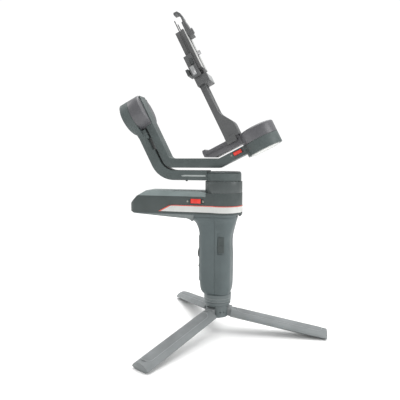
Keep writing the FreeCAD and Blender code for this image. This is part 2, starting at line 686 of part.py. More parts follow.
base_insert = turned([("stud_radius + run_fit", "grip_low + 0.2"), ("6", "grip_low + 0.2"),
                      ("6", "grip_low + 11"), ("stud_radius + run_fit", "grip_low + 11")])
nose_insert = placed(turned([("stud_radius", "parting - 3"), ("6", "parting - 3"), ("6", "parting + 4.4"),
                             ("stud_radius", "parting + 4.4")]), along(0, base=V(INSERT_X, 0, 0)))
keep("thread_inserts", compound(base_insert, nose_insert), WORLD)

keep("main_board", box("-118", "-50", "-13.4", "13.4", "parting + 5", "parting + 6.4"), WORLD)
port = Body("usb_port", WORLD)
port.pad("XZ", rect("-104.7", "-95.3", "184.3", "187.7"), "head_half - 7.4", "head_half - 0.2")
port.pocket("XZ", rect("-104.2", "-95.8", "184.8", "187.2"), "head_half - 6.4", "head_half + 1")

lock_y = "-head_half"
keep("pan_lock_slider", fuse(box("lock_x - lock_long / 2", "lock_x + lock_long / 2", lock_y + " - 0.1",
                                 lock_y + " + 1.5", "lock_z - lock_high / 2", "lock_z + lock_high / 2"),
                             box("lock_x - 4.5", "lock_x + 4.5", lock_y + " - 1.1", lock_y + " - 0.1",
                                 "lock_z - 2.2", "lock_z + 2.2")), WORLD)
trigger_outline = [("29.4", "parting + 3.0"), ("32.4", "parting + 3.0"), ("33.6", "parting + 0.2"),
                   ("35.2", "parting - 0.6"), ("34.6", "parting - 2.4"), ("33", "parting - 3.2"),
                   ("30.8", "parting - 0.8"), ("30.4", "parting - 0.2")]
keep("trigger", prism("XZ", trigger_outline, "-5.8", "5.8"), WORLD)

# ---- motors --------------------------------------------------------------------------------------
# Each is drawn along z with its seam at z = 0, the stator below and the rotor above.


def motor_core(prefix, placement, depth):
    """The wound core, the two bearings and the rotor bell of one motor."""
    core = Body(prefix + "_stator", placement)
    core.pad("XY", ("circle", "0", "0", "13"), "-%s + 4.6" % depth, "-3")
    tooth = core.pad("XY", rect("12", "core_outer", "-1.6", "1.6"), "-%s + 4.6" % depth, "-3")
    core.ring(tooth, int(size("core_teeth")))
    core.pocket("XY", ("circle", "0", "0", "boss_outer"), "-%s" % depth, "0")
    rings = []
    for low in ("-%s + 2.4" % depth, "-5"):
        outer = rod("z", "0", "0", "bearing_outer", low, "%s + 3" % low)
        inner = rod("z", "0", "0", "shaft_radius + run_fit", "%s - 1" % low, "%s + 4" % low)
        rings.append(cut(outer, inner))
    keep(prefix + "_bearings", compound(*rings), placement)
    bell = Body(prefix + "_rotor_bell", placement)
    bell.turn([("0", "-%s + 2.2" % depth), ("shaft_radius", "-%s + 2.2" % depth), ("shaft_radius", "0.3"),
               ("magnet_inner", "0.3"), ("magnet_inner", "-%s + 4.6" % depth),
               ("magnet_outer", "-%s + 4.6" % depth), ("magnet_outer", "0.3 + bell_thick"),
               ("0", "0.3 + bell_thick")])


def stator_housing(radius, depth):
    """A cup that is open upwards, with a central boss for the bearings."""
    return turned([("bearing_outer", "-%s" % depth), (radius, "-%s" % depth), (radius, "0"),
                   ("%s - motor_wall" % radius, "0"), ("%s - motor_wall" % radius, "-%s + 2" % depth),
                   ("boss_outer", "-%s + 2" % depth), ("boss_outer", "-1.4"), ("bearing_outer", "-1.4")])


def rotor_housing(radius, high):
    """The cap over a rotor bell, open downwards."""
    return turned([("magnet_outer", "gap"), (radius, "gap"), (radius, "%s - 1.2" % high),
                   ("%s - 1.2" % radius, high), ("0", high), ("0", "0.3 + bell_thick"),
                   ("magnet_outer", "0.3 + bell_thick")])


PAN_PLACE = along(0, base=V(size("pan_x"), 0, size("pan_seam")))
ROLL_PLACE = TILTED.multiply(FreeCAD.Placement(V(size("roll_seam"), 0, 0), FreeCAD.Rotation(Y_AXIS, 90)))
TILT_PLACE = TILTED.multiply(along(0, base=V(0, 0, size("tilt_seam"))))

pan_depth = "(pan_seam - base_top)"
roll_depth = "(roll_seam - roll_back)"
tilt_depth = "(tilt_seam - tilt_low)"
motor_core("pan", PAN_PLACE, pan_depth)
motor_core("roll", ROLL_PLACE, roll_depth)
motor_core("tilt", TILT_PLACE, tilt_depth)

keep("pan_motor_base", stator_housing("pan_base_radius", pan_depth), PAN_PLACE)

# ---- pan arm -------------------------------------------------------------------------------------
pan_points = [("pan_x - motor_radius + 6", "pan_arm_low"),
              (line_x("pan_arm_out", "pan_arm_low"), "pan_arm_low"),
              (world_x("pan_arm_out", "-14"), world_z("pan_arm_out", "-14")),
              (world_x("pan_arm_in", "-24"), world_z("pan_arm_in", "-24")),
              (line_x("pan_arm_in", "pan_arm_high"), "pan_arm_high"),
              ("pan_x - motor_radius + 6", "pan_arm_high")]
bar = prism("XZ", pan_points, "-pan_arm_half", "pan_arm_half")


def corner_x(u, height):
    tilt = math.radians(size("arm_tilt"))
    return size("pan_x") + (u - (height - size("axis_z")) * math.sin(tilt)) / math.cos(tilt)


def bend(solid, u, height, radius):
    """Round the corner where the line at tilted x = u meets a world height."""
    return rounded(solid, Y_AXIS, near(x=corner_x(size(u), size(height)), z=size(height)), size(radius))


bar = bend(bar, "pan_arm_out", "pan_arm_low", "pan_bend_out")
bar = bend(bar, "pan_arm_in", "pan_arm_high", "pan_bend_in")
pan_cup = placed(rotor_housing("motor_radius - 0.3", "(pan_cap - pan_seam)"), PAN_PLACE)
stator_cup = placed(stator_housing("motor_radius", roll_depth), ROLL_PLACE)
neck = placed(prism("YZ", [("-pan_arm_half", "-36"), ("pan_arm_half", "-36"), ("motor_radius - 4.5", "-14"),
                           ("-motor_radius + 4.5", "-14")], "pan_arm_out", "roll_seam"), TILTED)
roll_floor = "-%s + 2" % roll_depth
roll_room = placed(turned([("boss_outer", roll_floor), ("motor_radius - motor_wall", roll_floor),
                           ("motor_radius - motor_wall", "5"), ("boss_outer", "5")]), ROLL_PLACE)
over_seam = placed(box("roll_seam", "roll_seam + 12", "-motor_radius - 5", "motor_radius + 5",
                       "-motor_radius - 0.6", "motor_radius + 5"), TILTED)
recess = placed(box("pan_arm_in - 3", "pan_arm_in + 3", "-pan_arm_half - 1", "pan_arm_half + 1",
                    "-59", "-40"), TILTED)
pan_room = placed(rod("z", "0", "0", "motor_radius - 0.301", "-4", "20"), PAN_PLACE)
neck_room = placed(rod("z", "0", "0", "motor_radius - 0.5", "-30", "5"), ROLL_PLACE)
bar_trim = cut(bar, roll_room, over_seam, recess, pan_room)
keep("pan_arm", fuse(bar_trim, pan_cup, stator_cup, cut(neck, neck_room)), WORLD)
keep("pan_top_cap", turned([("0", "pan_cap - pan_seam"), ("motor_radius - 0.6", "pan_cap - pan_seam"),
                            ("motor_radius - 0.6", "pan_cap - pan_seam + 0.8"),
                            ("motor_radius - 2.6", "pan_top - pan_seam"), ("0", "pan_top - pan_seam")]),
     PAN_PLACE)


def base_cap(name, placement, depth, outer, inner):
    """A thin cap under a motor's stator housing."""
    keep(name, turned([("0", "-%s - cap_thick" % depth), (outer, "-%s - cap_thick" % depth),
                       (inner, "-%s" % depth), ("0", "-%s" % depth)]), placement)


base_cap("roll_back_cap", ROLL_PLACE, roll_depth, "motor_radius - 2.2", "motor_radius - 1")

# ---- roll head: the rotor half whose face carries the sliding arm --------------------------------
roll_cup = placed(rotor_housing("motor_radius", "(roll_face - roll_seam)"), ROLL_PLACE)
channel = placed(box("roll_channel", "roll_face + 1", "-roll_arm_half - gap", "roll_arm_half + gap",
                     "-40", "40"), TILTED)
keep("roll_head", cut(roll_cup, channel), WORLD)
lever_y = "motor_radius"
keep("roll_clamp_lever", fuse(rod("y", "roll_face - 6", "4", "4.2", lever_y + " + 0.3", lever_y + " + 4"),
                              box("roll_face - 8.5", "roll_face - 3.5", lever_y + " + 1.5", lever_y + " + 4",
                                  "4", "24")),
     TILTED)

# ---- roll arm ------------------------------------------------------------------------------------
arm_points = [(world_x("roll_arm_out", "roll_arm_end"), world_z("roll_arm_out", "roll_arm_end")),
              (line_x("roll_arm_out", "roll_arm_low"), "roll_arm_low"),
              (rail_x("slope_low", "roll_arm_low"), "roll_arm_low"),
              (world_x("-10", "slope_low"), world_z("-10", "slope_low")),
              (world_x("-10", "slope_high"), world_z("-10", "slope_high")),
              (rail_x("slope_high", "roll_arm_high"), "roll_arm_high"),
              (line_x("roll_arm_in", "roll_arm_high"), "roll_arm_high"),
              (world_x("roll_arm_in", "roll_arm_end"), world_z("roll_arm_in", "roll_arm_end"))]
arm_bar = prism("XZ", arm_points, "-roll_arm_half", "roll_arm_half")
arm_bar = bend(arm_bar, "roll_arm_out", "roll_arm_low", "roll_bend_out")
arm_bar = bend(arm_bar, "roll_arm_in", "roll_arm_high", "roll_bend_in")
tilt_cup = placed(stator_housing("motor_radius", tilt_depth), TILT_PLACE)
tilt_room = placed(rod("z", "0", "0", "motor_radius - 0.5", "-%s - 1" % tilt_depth, "2"), TILT_PLACE)
tilt_lock_bed = placed(box("-42.5", "-27.3", "-roll_arm_half - 1", "-roll_arm_half + 1.7",
                           "-122.7", "-117.1"), TILTED)
rotor_room = placed(rod("z", "0", "0", "motor_radius + gap", "0", "8"), TILT_PLACE)
keep("roll_arm", fuse(cut(arm_bar, tilt_room, rotor_room, tilt_lock_bed), tilt_cup), WORLD)
base_cap("tilt_base_cap", TILT_PLACE, tilt_depth, "cap_radius - 1", "cap_radius")
tilt_lock_plate = box("-42", "-29.8", "-roll_arm_half - 0.1", "-roll_arm_half + 1.4", "-122.3", "-117.5")
tilt_lock_grip = box("-40", "-31.8", "-roll_arm_half - 1.0", "-roll_arm_half - 0.1", "-121.5", "-118.3")
keep("tilt_lock_slider", fuse(tilt_lock_plate, tilt_lock_grip), TILTED)
roll_lock_plate = box("pan_arm_in + 0.7", "pan_arm_in + 5.3", "motor_radius + 0.1", "motor_radius + 1.5",
                      "-9", "-1.4")
roll_lock_grip = box("pan_arm_in + 1.5", "pan_arm_in + 4.5", "motor_radius + 1.5", "motor_radius + 2.4",
                     "-8", "-2.4")
keep("roll_lock_slider", fuse(roll_lock_plate, roll_lock_grip), TILTED)

# ---- tilt head with its rail ---------------------------------------------------------------------
rail_points = [("-16", "rail_high"), ("rail_end + 6.5", "rail_high"), ("rail_end + 5.5", "rail_high + 3.4"),
               ("rail_end + 1", "rail_high + 3.4"), ("rail_end", "rail_high"),
               ("rail_end", "rail_low + 7.6"),
               ("rail_end + 2.4", "rail_low + 6.1"), ("rail_end + 14.5", "rail_low"), ("-16", "rail_low")]
rail = prism("XZ", rail_points, "-rail_half", "rail_half")
tilt_top = rotor_housing("motor_radius", "(tilt_high - tilt_seam)")
tilt_top = placed(tilt_top, along(0, base=V(0, 0, size("tilt_seam"))))
rail_trim = cut(rail, rod("z", "0", "0", "motor_radius - 0.5", "tilt_seam - 2", "tilt_high + 3"))
side_grooves = []
for low, high in (("rail_half - 1.4", "rail_half + 1"), ("-rail_half - 1", "-rail_half + 1.4")):
    side_grooves.append(box("rail_end + 4", "-27", low, high, "foot_low - 0.1", "foot_low + 3.3"))
keep("tilt_head", cut(fuse(rail_trim, tilt_top), *side_grooves), TILTED)
keep("tilt_top_cap", turned([("0", "tilt_high - tilt_seam"), ("cap_radius + 1", "tilt_high - tilt_seam"),
                             ("cap_radius", "tilt_high - tilt_seam + 1.1"),
                             ("0", "tilt_high - tilt_seam + 1.1")]),
     TILT_PLACE)

# ---- upright bracket -----------------------------------------------------------------------------
upright = Body("upright_bracket", TILTED)
upright.pad("XZ", [("bar_back", "rail_high + gap"), ("bar_back", "bar_top"), ("bar_front", "bar_top"),
                   ("bar_front", "-58"), ("web_front", "-79"), ("web_front", "rail_high + gap")],
            "-bar_half", "bar_half")
upright.round(Y_AXIS, near(x=size("bar_front"), z=-58.0), 16.0)
upright.round(Y_AXIS, near(x=size("web_front"), z=-79.0), 13.0)
for side in (-6.5, 0.0, 6.5):
    groove = rect("bar_front - 1.1", "bar_front + 1", side - 1.2, side + 1.2)
    upright.pocket("XY", groove, "-56", "block_low - 2")
for low, high in (("rail_half + gap", "foot_half"), ("-foot_half", "-rail_half - gap")):
    upright.pad("XZ", rect("bar_back", "-motor_radius - 2.4", "foot_low", "rail_high + 4"), low, high)
for low, high in (("rail_half - 1.1", "rail_half + gap"), ("-rail_half - gap", "-rail_half + 1.1")):
    upright.pad("XZ", rect("bar_back", "-motor_radius - 2.4", "foot_low + 0.2", "foot_low + 3.0"), low, high)

keep("bracket_lever", fuse(rod("y", "-33", "-101", "3.6", "foot_half + 0.2", "foot_half + 4.4"),
                           box("-54", "-33", "foot_half + 1.6", "foot_half + 4.4", "-103.6", "-98.4")),
     TILTED)

# ---- camera base, quick-release plate and camera stop --------------------------------------------
base = Body("camera_base", TILTED)
base.pad("XZ", rect("tray_back", "block_front", "block_low", "0"), "-15", "15")
base.pad("XZ", rect("tray_back", "tray_face", "0", "tray_top"), "-tray_half", "tray_half")
for low, high in (("16.2", "tray_half"), ("-tray_half", "-16.2")):
    base.pad("XZ", rect("tray_face", "-33", "0", "tray_top"), low, high)
for low, high in (("15.1", "16.2"), ("-16.2", "-15.1")):
    base.pad("XZ", rect("-35.7", "-33", "0", "tray_top"), low, high)
base.pocket("XY", rect("bar_back", "bar_front", "-bar_half", "bar_half"), "block_low - 1", "bar_top")
base.pocket("XZ", rect("-39.3", "-34.7", "17.7", "26.3"), "-tray_half - 1", "-16")
keep("plate_release", box("-39", "-35", "-tray_half - 2", "-tray_half + 0.9", "18", "26"), TILTED)
keep("base_lever", fuse(rod("x", "0", "11", "5.2", "tray_back - 5.6", "tray_back - 0.3"),
                        box("tray_back - 5.6", "tray_back - 1.4", "-19", "0", "6.4", "15.6")), TILTED)

plate = Body("qr_plate", TILTED)
plate.pad("XZ", rect("tray_face + gap", "-36", "plate_low", "plate_high"), "-15.9", "15.9")
plate.pad("XZ", rect("-36", "-32.7", "plate_low", "plate_high"), "-14.8", "14.8")
plate.pad("XZ", rect("-32.7", "plate_face", "plate_low", "plate_high"), "-plate_half", "plate_half")
plate.pocket("YZ", rect("-stud_radius - 0.07", "stud_radius + 0.07", "plate_low + 12", "plate_high - 10"),
             "tray_face", "plate_face + 1")
plate.pocket("YZ", rect("-8", "8", "plate_low + 6", "plate_high - 6"), "tray_face", "-37")

for low, high in (("-9", "-6"), ("6", "9")):
    plate.pad("XZ", rect("-36.4", "-35.2", "plate_high - 1", "plate_high + 19.5"), low, high)
screw_thread = rod("x", "0", "screw_v", "stud_radius", "plate_face + gap", "plate_face + screw_out")
screw_neck = rod("x", "0", "screw_v", "stud_radius - 0.6", "-40.6", "plate_face + gap")
screw_head = rod("x", "0", "screw_v", "7.2", "-40.6", "-37.3")
keep("camera_screw", fuse(screw_thread, screw_neck, screw_head), TILTED)
stop_block = fuse(prism("XZ", [("plate_face + gap", "58.5"), ("plate_face + 8", "58.5"),
                               ("plate_face + 5.6", "82"), ("plate_face + gap", "82")], "-8", "8"),
                  prism("XZ", [("plate_face + gap", "60"), ("plate_face + 3", "60"),
                               ("plate_face + 3", "80"), ("plate_face + gap", "80")], "-10", "10"),
                  rod("x", "0", "66", "4.6", "plate_face + 6", "plate_face + 9.6"))
rest_outline = [("plate_face + 0.5", "76"), ("plate_face + 4.6", "76"), ("plate_face + 5.2", "88"),
                ("plate_face + 4.2", "95"), ("plate_face + 1", "100"), ("plate_face - 4.5", "100.8"),
                ("plate_face - 5.6", "97.6"), ("plate_face - 0.5", "96.6"), ("plate_face + 1.8", "93"),
                ("plate_face + 2.2", "88"), ("plate_face + 1.6", "81")]
lens_rest = prism("XZ", rest_outline, "-6", "6")
keep("camera_stop", fuse(stop_block, lens_rest), TILTED)

# ---- tripod --------------------------------------------------------------------------------------
hub = Body("tripod_hub", WORLD)
hub.turn([("0", "hub_low"), ("hub_radius - 0.8", "hub_low"), ("hub_radius", "hub_low + 0.8"),
          ("hub_radius", "hub_top"), ("0", "hub_top")])
slot = hub.pocket("XY", rect("core_radius", "hub_radius + 2", "-leg_tongue - 0.4", "leg_tongue + 0.4"),
                  "hub_low - 1", "hub_slot_top")
hub.ring(slot, 3)
bore = hub.pocket("XZ", ("circle", "pin_reach", "pin_height", "pin_radius"), "-hub_radius", "hub_radius")
hub.ring(bore, 3)

collar = Body("tripod_collar", WORLD)
collar.turn([("0", "hub_top"), ("hub_radius + 1.8", "hub_top"), ("collar_radius - 0.6", "hub_top + 1.4"),
             ("collar_radius - 0.6", "hub_top + 4.4"), ("collar_radius - 1.4", "hub_top + 4.9"),
             ("collar_radius - 0.2", "hub_top + 5.4"), ("collar_radius", "hub_top + 8"),
             ("collar_radius", "collar_top - 0.8"),
             ("collar_radius - 0.8", "collar_top"), ("stud_radius", "collar_top"),
             ("stud_radius", "collar_top + stud_long"), ("0", "collar_top + stud_long")])

REACH = size("foot_reach") - size("pin_reach")
HALF_THICK = (size("hub_radius") - size("leg_flat")) / 2
DROP = size("pin_height") + size("foot_trim")
LEG_LONG = math.sqrt(REACH ** 2 + DROP ** 2 - HALF_THICK ** 2)
LEG_SLOPE = math.degrees(math.atan2(DROP, REACH) - math.asin(HALF_THICK / math.hypot(REACH, DROP)))
PIN_PLACE = along(LEG_SLOPE, Y_AXIS, V(size("pin_reach"), 0, size("pin_height")))
LEG_TURNS = {"tripod_leg_right": 7.0, "tripod_leg_back": 127.0, "tripod_leg_front": 247.0}


def leg_shape():
    """One leg along +x from its pin, a third of a round tube with a flat underside."""
    outer, flat, tongue = size("hub_radius") - 0.2, size("leg_flat"), size("leg_tongue")
    centre = -size("pin_reach")
    clear = 0.25
    start = size("leg_start")
    spread = math.radians(60)
    side_y = flat * math.tan(spread) - clear
    rim = (outer * math.sin(spread) - clear, outer * math.cos(spread))
    low_left, low_right = V(start, -side_y, centre + flat), V(start, side_y, centre + flat)
    rim_left, rim_right = V(start, -rim[0], centre + rim[1]), V(start, rim[0], centre + rim[1])
    top = V(start, 0, centre + outer)
    wire = Part.Wire([Part.LineSegment(low_left, low_right).toShape(),
                      Part.LineSegment(low_right, rim_right).toShape(),
                      Part.Arc(rim_right, top, rim_left).toShape(),
                      Part.LineSegment(rim_left, low_left).toShape()])
    beam = Part.Face(wire).extrude(V(LEG_LONG - start, 0, 0))
    root_radius = size("pin_reach") - size("core_radius") - 0.2
    tongue_bar = Part.makeBox(start, 2 * tongue, 2 * root_radius, V(0, -tongue, -root_radius))
    root = Part.makeCylinder(root_radius, 2 * tongue, V(0, -tongue, 0), Y_AXIS)
    leg = beam.fuse([tongue_bar, root])
    # long shallow panel let into the curved outside, with rounded ends
    half_wide, deep = 5.6, 0.9
    first, last = start + 9.0, LEG_LONG - 9.0
    slab = Part.makeBox(last - first, 2 * half_wide, 8, V(first, -half_wide, centre + outer - deep))
    ends = [Part.makeCylinder(half_wide, 8, V(x, 0, centre + outer - deep)) for x in (first, last)]
    leg = leg.cut(slab.fuse(ends))
    leg = leg.cut(Part.makeCylinder(size("pin_radius") + size("run_fit"), 40, V(0, -20, 0), Y_AXIS))
    below_floor = Part.makeBox(400, 80, 20, V(0, -40, -20))
    below_floor.Placement = PIN_PLACE.inverse().multiply(below_floor.Placement)
    return leg.cut(below_floor).removeSplitter()


LEG = leg_shape()
for name, turn in LEG_TURNS.items():
    own_shape(name, LEG, along(turn, Z_AXIS).multiply(PIN_PLACE))

pins = []
for turn in LEG_TURNS.values():
    pin = rod("y", "pin_reach", "pin_height", "pin_radius", "-pin_half", "pin_half")
    pins.append(placed(pin, along(turn, Z_AXIS)))
keep("leg_pins", compound(*pins), WORLD)
pieces["tripod_hub"].Placement = along(LEG_TURNS["tripod_leg_right"], Z_AXIS)

# ---- check and write -----------------------------------------------------------------------------
doc.recompute()
for item in doc.Objects:
    if "Invalid" in item.State or "Error" in item.State:
        raise RuntimeError("failed object: %s %s" % (item.Name, item.Label))
if len(pieces) > 60:
    raise RuntimeError("too many sub-parts: %d" % len(pieces))
for name, piece in pieces.items():
    shape = piece.Shape
    if shape.isNull() or not shape.isValid() or shape.Volume <= 0:
        raise RuntimeError("bad shape: " + name)
    shape.exportStep("parts/%s.step" % name)
print("%d sub-parts, leg slope %.3f, leg length %.3f" % (len(pieces), LEG_SLOPE, LEG_LONG))
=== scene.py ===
import json
import math

import bmesh
import bpy
from mathutils import Matrix, Vector


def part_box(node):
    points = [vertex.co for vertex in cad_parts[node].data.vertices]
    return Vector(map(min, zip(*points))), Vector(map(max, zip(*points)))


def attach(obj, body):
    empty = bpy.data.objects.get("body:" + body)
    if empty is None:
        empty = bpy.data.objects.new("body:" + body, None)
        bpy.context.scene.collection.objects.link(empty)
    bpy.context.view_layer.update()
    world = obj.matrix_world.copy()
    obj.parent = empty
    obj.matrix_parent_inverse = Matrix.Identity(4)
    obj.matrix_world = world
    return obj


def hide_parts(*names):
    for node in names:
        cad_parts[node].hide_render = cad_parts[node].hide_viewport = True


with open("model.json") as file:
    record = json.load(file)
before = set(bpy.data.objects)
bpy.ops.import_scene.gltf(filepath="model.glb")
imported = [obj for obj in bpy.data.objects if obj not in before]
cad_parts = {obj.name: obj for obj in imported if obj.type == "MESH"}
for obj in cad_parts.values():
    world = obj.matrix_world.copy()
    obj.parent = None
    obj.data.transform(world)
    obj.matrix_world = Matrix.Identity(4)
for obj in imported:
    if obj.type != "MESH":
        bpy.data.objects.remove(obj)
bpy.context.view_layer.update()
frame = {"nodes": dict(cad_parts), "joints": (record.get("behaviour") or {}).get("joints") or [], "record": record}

MM = 0.001
scene = bpy.context.scene

# ---- places taken from the frame -----------------------------------------------------------------
JOINTS = {joint["name"]: joint for joint in frame["joints"]}
PAN_X = JOINTS["pan_turn"]["pos_m"][0]
ROLL_AXIS = Vector(JOINTS["roll_turn"]["axis"])
TILT_AXIS = Vector(JOINTS["tilt_turn"]["axis"])
ROLL_POINT = Vector(JOINTS["roll_turn"]["pos_m"])
CENTRE = ROLL_POINT + ROLL_AXIS * ((PAN_X - ROLL_POINT.x) / ROLL_AXIS.x)
TILTED = Matrix((
    (ROLL_AXIS.x, 0, TILT_AXIS.x, CENTRE.x),
    (0, 1, 0, 0),
    (ROLL_AXIS.z, 0, TILT_AXIS.z, CENTRE.z),
    (0, 0, 0, 1),
))
WORLD = Matrix.Identity(4)
HEAD_SIDE = 24.0            # half the head's width, in millimetres like the sizes of the pieces below
ARM_SIDE = 12.0             # half the pan arm's width
WHEEL_FACE = 22.0           # the focus wheel's inner face, along y
LIT_TOP_RISE = 0.45           # a face whose normal rises more than this gets the lighter head colour, painted light from the overhead lamp


# ---- materials -----------------------------------------------------------------------------------
def material(name):
    """A new node material with its tree's parts."""
    made = bpy.data.materials.new(name)
    made.use_nodes = True
    nodes = made.node_tree.nodes
    return made, nodes, made.node_tree.links, nodes["Principled BSDF"]


def noise(nodes, links, source, scale, detail=3.0, roughness=0.5):
    """A noise pattern read at a place."""
    node = nodes.new("ShaderNodeTexNoise")
    node.inputs["Scale"].default_value = scale
    node.inputs["Detail"].default_value = detail
    node.inputs["Roughness"].default_value = roughness
    links.new(source, node.inputs["Vector"])
    return node.outputs["Fac"]


def spread(nodes, links, source, low, high, near=0.35, far=0.65):
    """The pattern's middle range stretched from low to high."""
    node = nodes.new("ShaderNodeMapRange")
    for name, value in (("From Min", near), ("From Max", far), ("To Min", low), ("To Max", high)):
        node.inputs[name].default_value = value
    links.new(source, node.inputs["Value"])
    return node.outputs["Result"]


def tinted(nodes, links, source, dark, light, near=0.35, far=0.65):
    """A colour that goes from dark to light with a pattern."""
    ramp = nodes.new("ShaderNodeValToRGB")
    ramp.color_ramp.elements[0].position = near
    ramp.color_ramp.elements[1].position = far
    ramp.color_ramp.elements[0].color = (*dark, 1)
    ramp.color_ramp.elements[1].color = (*light, 1)
    links.new(source, ramp.inputs["Fac"])
    return ramp.outputs["Color"]


def moulded(name, colour, rough=0.5, grain=1400.0, depth=0.00003, metal=0.0, coat=0.0, vary=0.10,
            rough_vary=0.07, stretch=(1, 1, 1), specular=0.5):
    """A moulded, painted or blasted surface: uneven tone, fine grain and uneven gloss."""
    made, nodes, links, shader = material(name)
    place = nodes.new("ShaderNodeTexCoord").outputs["Object"]
    if stretch != (1, 1, 1):
        mapping = nodes.new("ShaderNodeMapping")
        mapping.inputs["Scale"].default_value = stretch
        links.new(place, mapping.inputs["Vector"])
        place = mapping.outputs["Vector"]
    cloud = noise(nodes, links, place, 34.0, 5.0)
    dark = tuple(part * (1 - vary) for part in colour)
    light = tuple(min(1.0, part * (1 + vary)) for part in colour)
    links.new(tinted(nodes, links, cloud, dark, light), shader.inputs["Base Color"])
    smear = noise(nodes, links, place, 90.0, 4.0, 0.6)
    links.new(spread(nodes, links, smear, rough - rough_vary, rough + rough_vary), shader.inputs["Roughness"])
    fine = noise(nodes, links, place, grain, 2.0, 0.55)
    bump = nodes.new("ShaderNodeBump")
    bump.inputs["Strength"].default_value = 0.55
    bump.inputs["Distance"].default_value = depth
    links.new(fine, bump.inputs["Height"])
    links.new(bump.outputs["Normal"], shader.inputs["Normal"])
    shader.inputs["Metallic"].default_value = metal
    shader.inputs["Coat Weight"].default_value = coat
    shader.inputs["Specular IOR Level"].default_value = specular
    return made


def brushed(name, colour, rough=0.32, stretch=(1, 1, 40), vary=0.12):
    """Turned or brushed metal: fine lines that stretch along one direction."""
    return moulded(name, colour, rough, 260.0, 0.00002, 1.0, 0.0, vary, 0.08, stretch)


MATERIALS = {
    # the head's upward faces: a lighter copy of the shell colour, painted light where the overhead lamp falls
    "head_top": moulded("head_top", (0.175, 0.215, 0.213), 0.5, 1700.0, 0.00004, vary=0.07),
    "head_shell": moulded("head_shell", (0.060, 0.073, 0.072), 0.50, 1700.0, 0.00004, specular=0.35),
    "grip_skin": moulded("grip_skin", (0.094, 0.117, 0.120), 0.56, 1100.0, 0.00006, vary=0.07, specular=0.35),
    # the underside: a lighter copy of the shell colour, painted bounce light from the floor
    "underside_painted_bounce": moulded("underside_painted_bounce", (0.150, 0.172, 0.172), 0.52, 1400.0, 0.00004, vary=0.08),
    "arm_paint": moulded("arm_paint", (0.076, 0.094, 0.093), 0.48, 2300.0, 0.00005, vary=0.09, specular=0.4),
    "motor_paint": moulded("motor_paint", (0.094, 0.094, 0.102), 0.36, 2000.0, 0.00003, coat=0.12),
    "rotor_paint": moulded("rotor_paint", (0.062, 0.074, 0.074), 0.42, 2000.0, 0.00003, coat=0.05),
    "bracket_anodised": moulded("bracket_anodised", (0.108, 0.111, 0.113), 0.46, 2600.0, 0.00003, metal=0.2),
    "bracket_light": moulded("bracket_light", (0.36, 0.37, 0.37), 0.42, 2000.0, 0.00003, metal=0.3),
    "plate_blasted": moulded("plate_blasted", (0.108, 0.109, 0.110), 0.48, 2400.0, 0.00005, metal=0.2),
    # the plate's top face: a light pad colour, made lighter still as painted light falling from the upper right
    "plate_pad_and_painted_light": moulded("plate_pad_and_painted_light", (0.46, 0.465, 0.455), 0.52, 900.0, 0.00006),
    # the side strip's own light colour, also put on the tilt motor's base cap as painted floor bounce light
    "strip_and_bounce_light": moulded("strip_and_bounce_light", (0.60, 0.61, 0.59), 0.34, 700.0, 0.00002, coat=0.2, vary=0.06),
    "pin_red": moulded("pin_red", (0.62, 0.095, 0.07), 0.45, 900.0, 0.00002, vary=0.12),
    "lock_red": moulded("lock_red", (0.78, 0.045, 0.03), 0.42, 1300.0, 0.00004, coat=0.1, vary=0.1),
    "inlay_light": moulded("inlay_light", (0.34, 0.37, 0.365), 0.4, 900.0, 0.00002, coat=0.1),
    "icon_grey": moulded("icon_grey", (0.30, 0.32, 0.27), 0.6, 900.0, 0.00001),
    "rubber_black": moulded("rubber_black", (0.020, 0.021, 0.022), 0.72, 1500.0, 0.00008, vary=0.2),
    "hub_skin": moulded("hub_skin", (0.115, 0.138, 0.140), 0.50, 1300.0, 0.00005, vary=0.08),
    "leg_skin": moulded("leg_skin", (0.185, 0.200, 0.203), 0.50, 1300.0, 0.00006, vary=0.08),
    "leg_inlay": moulded("leg_inlay", (0.180, 0.192, 0.196), 0.70, 420.0, 0.00022, vary=0.14),
    "leg_rim": moulded("leg_rim", (0.27, 0.285, 0.288), 0.45, 1300.0, 0.00003, vary=0.06),
    "collar_line": moulded("collar_line", (0.21, 0.225, 0.225), 0.45, 900.0, 0.00002),
    "lever_black": moulded("lever_black", (0.05, 0.055, 0.055), 0.42, 1500.0, 0.00004, coat=0.05),
    "steel_turned": brushed("steel_turned", (0.58, 0.58, 0.59)),
    "screw_black": moulded("screw_black", (0.03, 0.03, 0.032), 0.35, 2500.0, 0.00002, metal=0.8),
    "brass_turned": brushed("brass_turned", (0.72, 0.53, 0.22)),
    "copper_wound": brushed("copper_wound", (0.45, 0.20, 0.09), 0.4, (1, 1, 60)),
    "board_green": moulded("board_green", (0.02, 0.12, 0.06), 0.45, 500.0, 0.00008, vary=0.25),
    "cell_wrap": moulded("cell_wrap", (0.09, 0.15, 0.36), 0.35, 700.0, 0.00002, coat=0.3),
    "screen_dark": moulded("screen_dark", (0.008, 0.009, 0.011), 0.12, 300.0, 0.000005, coat=0.6, vary=0.3),
}

